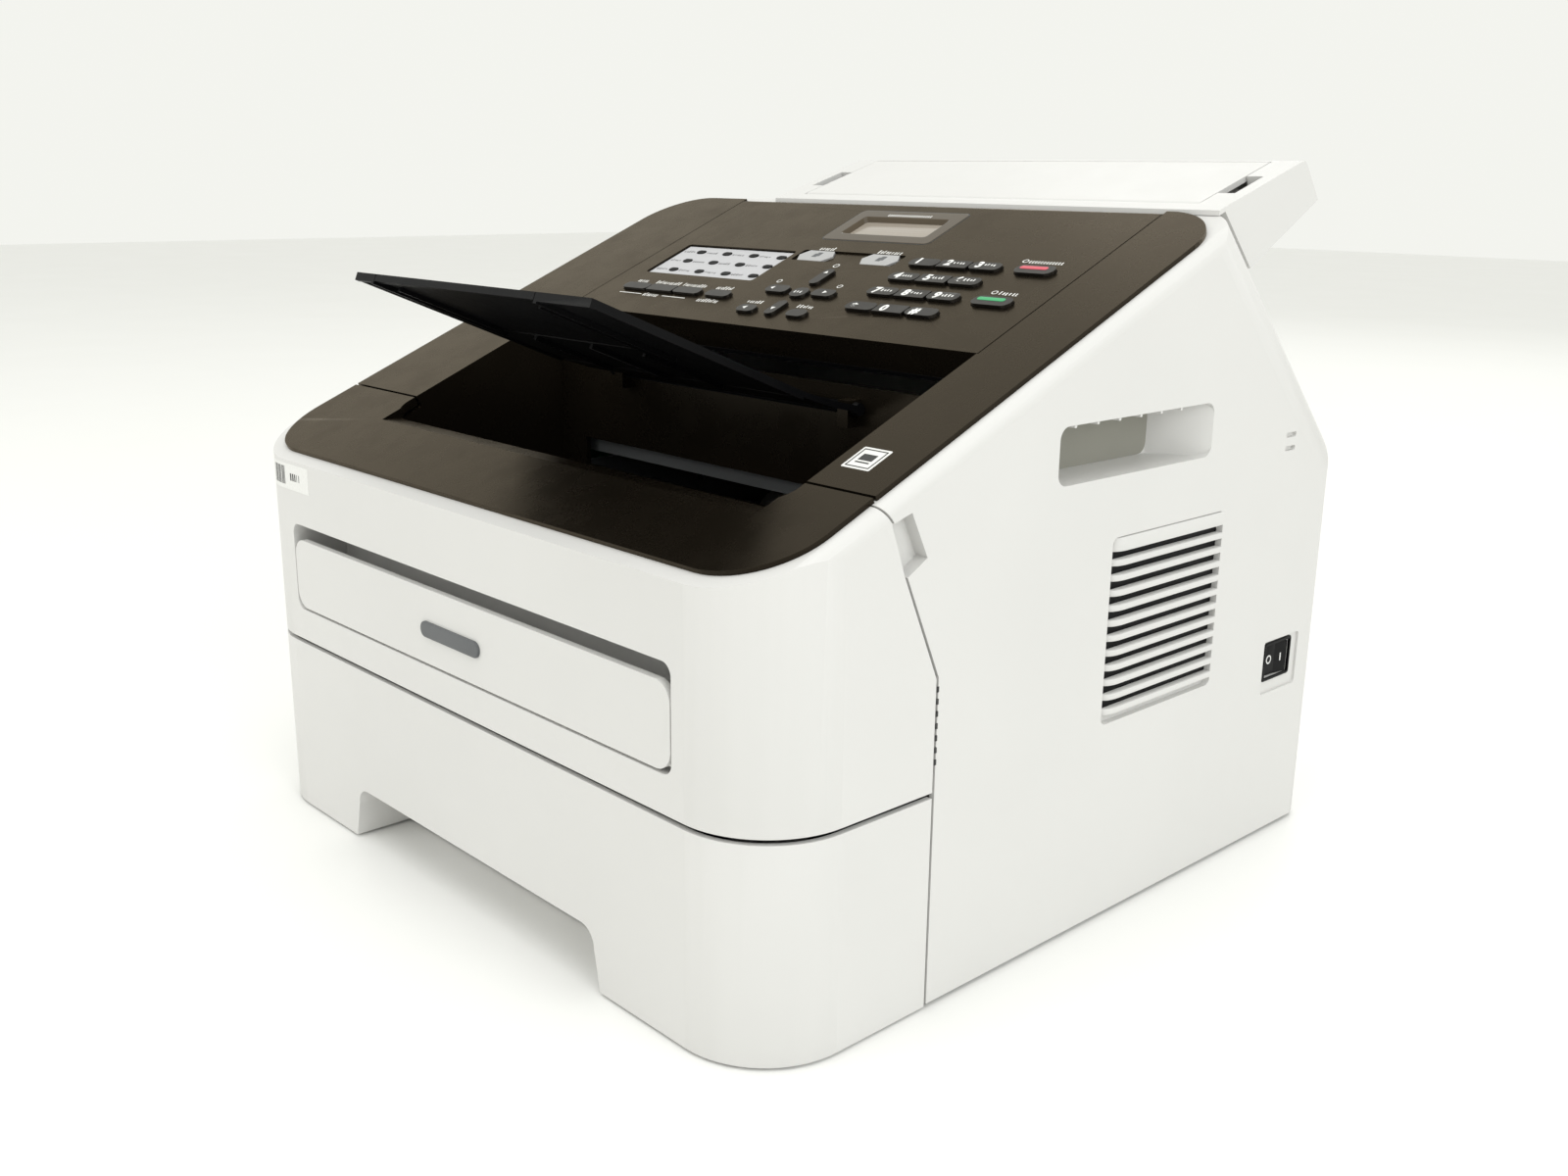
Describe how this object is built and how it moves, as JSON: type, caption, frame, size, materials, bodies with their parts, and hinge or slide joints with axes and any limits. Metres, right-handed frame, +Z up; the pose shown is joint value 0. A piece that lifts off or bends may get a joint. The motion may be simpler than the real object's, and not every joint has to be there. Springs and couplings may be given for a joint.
{
  "type": "fax machine",
  "caption": "Desktop laser fax machine with sloping key panel, raised document flap, front paper tray and opening covers",
  "frame": {"origin": "on the floor, under the middle of the body's box", "axes": "+X to the right seen from the front, -Y out of the front face, +Z up"},
  "size_m": [0.368, 0.36, 0.31],
  "materials": {
    "white_abs": "fine matte texture",
    "bronze_abs": "satin dark bronze",
    "black_abs": "satin black",
    "key_black": "satin black key cap",
    "key_silver": "silver paint",
    "silicone": "dark silicone",
    "frame_grey": "moulded grey",
    "board_green": "solder mask",
    "steel": "zinc plated",
    "roller_rubber": "ground rubber",
    "fuser_red": "release coating",
    "press_foam": "silicone sponge",
    "gear_nylon": "natural acetal",
    "foot_rubber": "soft rubber"
  },
  "bodies": {
    "chassis": {"main_housing": "white_abs", "base_frame": "frame_grey", "top_cover": "bronze_abs", "document_tray": "white_abs", "power_inlet": "black_abs", "line_jacks": "black_abs", "drum_unit": "black_abs", "toner_cartridge": "black_abs", "laser_unit": "frame_grey", "main_motor": "steel", "main_board": "board_green", "feet": "foot_rubber"},
    "front_cover": {"front_cover": "white_abs", "front_trim": "bronze_abs"},
    "slot_cover": {"slot_cover": "white_abs"},
    "paper_tray": {"paper_tray": "white_abs"},
    "lift_plate": {"lift_plate": "steel"},
    "control_panel": {"panel_housing": "bronze_abs", "panel_under_cover": "black_abs", "lcd_window": "bronze_abs", "panel_board": "board_green"},
    "document_lid": {"document_lid": "white_abs"},
    "document_flap": {"document_flap": "black_abs"},
    "flap_extension": {"flap_extension": "black_abs"},
    "support_flap": {"support_flap": "black_abs"},
    "rear_cover": {"rear_cover": "white_abs"},
    "power_rocker": {"power_rocker": "black_abs"},
    "heat_roller": {"heat_roller": "fuser_red"},
    "pressure_roller": {"pressure_roller": "press_foam"},
    "pickup_roller": {"pickup_roller": "roller_rubber"},
    "adf_roller": {"adf_roller": "roller_rubber"},
    "drive_gear": {"drive_gear": "gear_nylon"},
    "key_1": {"key_1": "key_black"},
    "key_2": {"key_2": "key_black"},
    "key_3": {"key_3": "key_black"},
    "key_4": {"key_4": "key_black"},
    "key_5": {"key_5": "key_black"},
    "key_6": {"key_6": "key_black"},
    "key_7": {"key_7": "key_black"},
    "key_8": {"key_8": "key_black"},
    "key_9": {"key_9": "key_black"},
    "key_star": {"key_star": "key_black"},
    "key_0": {"key_0": "key_black"},
    "key_hash": {"key_hash": "key_black"},
    "nav_up": {"nav_up": "key_black"},
    "nav_down": {"nav_down": "key_black"},
    "nav_left": {"nav_left": "key_black"},
    "nav_right": {"nav_right": "key_black"},
    "nav_ok": {"nav_ok": "key_black"},
    "key_clear": {"key_clear": "key_black"},
    "key_menu": {"key_menu": "key_black"},
    "function_key_1": {"function_key_1": "key_black"},
    "function_key_2": {"function_key_2": "key_black"},
    "function_key_3": {"function_key_3": "key_black"},
    "function_key_4": {"function_key_4": "key_black"},
    "mode_fax_key": {"mode_fax_key": "key_silver"},
    "mode_copy_key": {"mode_copy_key": "key_silver"},
    "stop_key": {"stop_key": "key_black"},
    "start_key": {"start_key": "key_black"},
    "one_touch_mat": {"one_touch_mat": "silicone"}
  },
  "joints": [
    {"name": "front_cover_hinge", "type": "hinge", "parent": "chassis", "child": "front_cover", "pos_m": [0, -0.17405, 0.097], "axis": [1, 0, 0], "range_deg": [0, 80]},
    {"name": "slot_cover_hinge", "type": "hinge", "parent": "front_cover", "child": "slot_cover", "pos_m": [0, -0.1776, 0.1061], "axis": [1, 0, 0], "range_deg": [0, 70]},
    {"name": "paper_tray_slide", "type": "slide", "parent": "chassis", "child": "paper_tray", "axis": [0, -1, 0], "range_m": [0, 0.22]},
    {"name": "lift_plate_hinge", "type": "hinge", "parent": "paper_tray", "child": "lift_plate", "pos_m": [0, 0.02, 0.008], "axis": [-1, 0, 0], "range_deg": [0, 11]},
    {"name": "control_panel_hinge", "type": "hinge", "parent": "chassis", "child": "control_panel", "pos_m": [0, 0.08214, 0.28387], "axis": [-1, 0, 0], "range_deg": [0, 50]},
    {"name": "document_lid_hinge", "type": "hinge", "parent": "chassis", "child": "document_lid", "pos_m": [0, 0.09588, 0.29059], "axis": [1, 0, 0], "range_deg": [0, 60]},
    {"name": "document_flap_hinge", "type": "hinge", "parent": "chassis", "child": "document_flap", "pos_m": [0, -0.045, 0.2108], "axis": [-1, 0, 0], "range_deg": [-22, 25]},
    {"name": "flap_extension_hinge", "type": "hinge", "parent": "document_flap", "child": "flap_extension", "pos_m": [0, -0.17339, 0.25846], "axis": [1, 0, 0], "range_deg": [0, 160]},
    {"name": "support_flap_hinge", "type": "hinge", "parent": "chassis", "child": "support_flap", "pos_m": [0, -0.09183, 0.17177], "axis": [-1, 0, 0], "range_deg": [0, 38]},
    {"name": "rear_cover_hinge", "type": "hinge", "parent": "chassis", "child": "rear_cover", "pos_m": [0, 0.1774, 0.0332], "axis": [-1, 0, 0], "range_deg": [0, 85]},
    {"name": "power_rocker_hinge", "type": "hinge", "parent": "chassis", "child": "power_rocker", "pos_m": [0.1785, 0.1443, 0.08725], "axis": [0, 0, 1], "range_deg": [0, 14]},
    {"name": "heat_roller_spin", "type": "hinge", "parent": "chassis", "child": "heat_roller", "pos_m": [0, 0.095, 0.14], "axis": [1, 0, 0], "continuous": true},
    {"name": "pressure_roller_spin", "type": "hinge", "parent": "chassis", "child": "pressure_roller", "pos_m": [0, 0.095, 0.1156], "axis": [1, 0, 0], "continuous": true},
    {"name": "drive_gear_spin", "type": "hinge", "parent": "chassis", "child": "drive_gear", "pos_m": [0.126, 0.0495, 0.14], "axis": [1, 0, 0], "continuous": true},
    {"name": "pickup_roller_spin", "type": "hinge", "parent": "chassis", "child": "pickup_roller", "pos_m": [0, -0.074, 0.07], "axis": [1, 0, 0], "continuous": true},
    {"name": "adf_roller_spin", "type": "hinge", "parent": "chassis", "child": "adf_roller", "pos_m": [0, 0.03737, 0.24148], "axis": [1, 0, 0], "continuous": true},
    {"name": "key_1_press", "type": "slide", "parent": "control_panel", "child": "key_1", "axis": [0, 0.3959, -0.9183], "range_m": [0, 0.001], "stiffness_N_per_m": 400},
    {"name": "key_2_press", "type": "slide", "parent": "control_panel", "child": "key_2", "axis": [0, 0.3959, -0.9183], "range_m": [0, 0.001], "stiffness_N_per_m": 400},
    {"name": "key_3_press", "type": "slide", "parent": "control_panel", "child": "key_3", "axis": [0, 0.3959, -0.9183], "range_m": [0, 0.001], "stiffness_N_per_m": 400},
    {"name": "key_4_press", "type": "slide", "parent": "control_panel", "child": "key_4", "axis": [0, 0.3959, -0.9183], "range_m": [0, 0.001], "stiffness_N_per_m": 400},
    {"name": "key_5_press", "type": "slide", "parent": "control_panel", "child": "key_5", "axis": [0, 0.3959, -0.9183], "range_m": [0, 0.001], "stiffness_N_per_m": 400},
    {"name": "key_6_press", "type": "slide", "parent": "control_panel", "child": "key_6", "axis": [0, 0.3959, -0.9183], "range_m": [0, 0.001], "stiffness_N_per_m": 400},
    {"name": "key_7_press", "type": "slide", "parent": "control_panel", "child": "key_7", "axis": [0, 0.3959, -0.9183], "range_m": [0, 0.001], "stiffness_N_per_m": 400},
    {"name": "key_8_press", "type": "slide", "parent": "control_panel", "child": "key_8", "axis": [0, 0.3959, -0.9183], "range_m": [0, 0.001], "stiffness_N_per_m": 400},
    {"name": "key_9_press", "type": "slide", "parent": "control_panel", "child": "key_9", "axis": [0, 0.3959, -0.9183], "range_m": [0, 0.001], "stiffness_N_per_m": 400},
    {"name": "key_star_press", "type": "slide", "parent": "control_panel", "child": "key_star", "axis": [0, 0.3959, -0.9183], "range_m": [0, 0.001], "stiffness_N_per_m": 400},
    {"name": "key_0_press", "type": "slide", "parent": "control_panel", "child": "key_0", "axis": [0, 0.3959, -0.9183], "range_m": [0, 0.001], "stiffness_N_per_m": 400},
    {"name": "key_hash_press", "type": "slide", "parent": "control_panel", "child": "key_hash", "axis": [0, 0.3959, -0.9183], "range_m": [0, 0.001], "stiffness_N_per_m": 400},
    {"name": "nav_up_press", "type": "slide", "parent": "control_panel", "child": "nav_up", "axis": [0, 0.3959, -0.9183], "range_m": [0, 0.001], "stiffness_N_per_m": 400},
    {"name": "nav_down_press", "type": "slide", "parent": "control_panel", "child": "nav_down", "axis": [0, 0.3959, -0.9183], "range_m": [0, 0.001], "stiffness_N_per_m": 400},
    {"name": "nav_left_press", "type": "slide", "parent": "control_panel", "child": "nav_left", "axis": [0, 0.3959, -0.9183], "range_m": [0, 0.001], "stiffness_N_per_m": 400},
    {"name": "nav_right_press", "type": "slide", "parent": "control_panel", "child": "nav_right", "axis": [0, 0.3959, -0.9183], "range_m": [0, 0.001], "stiffness_N_per_m": 400},
    {"name": "nav_ok_press", "type": "slide", "parent": "control_panel", "child": "nav_ok", "axis": [0, 0.3959, -0.9183], "range_m": [0, 0.001], "stiffness_N_per_m": 400},
    {"name": "key_clear_press", "type": "slide", "parent": "control_panel", "child": "key_clear", "axis": [0, 0.3959, -0.9183], "range_m": [0, 0.001], "stiffness_N_per_m": 400},
    {"name": "key_menu_press", "type": "slide", "parent": "control_panel", "child": "key_menu", "axis": [0, 0.3959, -0.9183], "range_m": [0, 0.001], "stiffness_N_per_m": 400},
    {"name": "function_key_1_press", "type": "slide", "parent": "control_panel", "child": "function_key_1", "axis": [0, 0.3959, -0.9183], "range_m": [0, 0.001], "stiffness_N_per_m": 400},
    {"name": "function_key_2_press", "type": "slide", "parent": "control_panel", "child": "function_key_2", "axis": [0, 0.3959, -0.9183], "range_m": [0, 0.001], "stiffness_N_per_m": 400},
    {"name": "function_key_3_press", "type": "slide", "parent": "control_panel", "child": "function_key_3", "axis": [0, 0.3959, -0.9183], "range_m": [0, 0.001], "stiffness_N_per_m": 400},
    {"name": "function_key_4_press", "type": "slide", "parent": "control_panel", "child": "function_key_4", "axis": [0, 0.3959, -0.9183], "range_m": [0, 0.001], "stiffness_N_per_m": 400},
    {"name": "mode_fax_key_press", "type": "slide", "parent": "control_panel", "child": "mode_fax_key", "axis": [0, 0.3959, -0.9183], "range_m": [0, 0.001], "stiffness_N_per_m": 400},
    {"name": "mode_copy_key_press", "type": "slide", "parent": "control_panel", "child": "mode_copy_key", "axis": [0, 0.3959, -0.9183], "range_m": [0, 0.001], "stiffness_N_per_m": 400},
    {"name": "stop_key_press", "type": "slide", "parent": "control_panel", "child": "stop_key", "axis": [0, 0.3959, -0.9183], "range_m": [0, 0.001], "stiffness_N_per_m": 400},
    {"name": "start_key_press", "type": "slide", "parent": "control_panel", "child": "start_key", "axis": [0, 0.3959, -0.9183], "range_m": [0, 0.001], "stiffness_N_per_m": 400},
    {"name": "one_touch_mat_press", "type": "slide", "parent": "control_panel", "child": "one_touch_mat", "axis": [0, 0.3959, -0.9183], "range_m": [0, 0.0008], "stiffness_N_per_m": 400}
  ],
  "couplings": [
    {"joint": "pressure_roller_spin", "follows": "heat_roller_spin", "ratio": -1},
    {"joint": "drive_gear_spin", "follows": "heat_roller_spin", "ratio": -0.5}
  ]
}
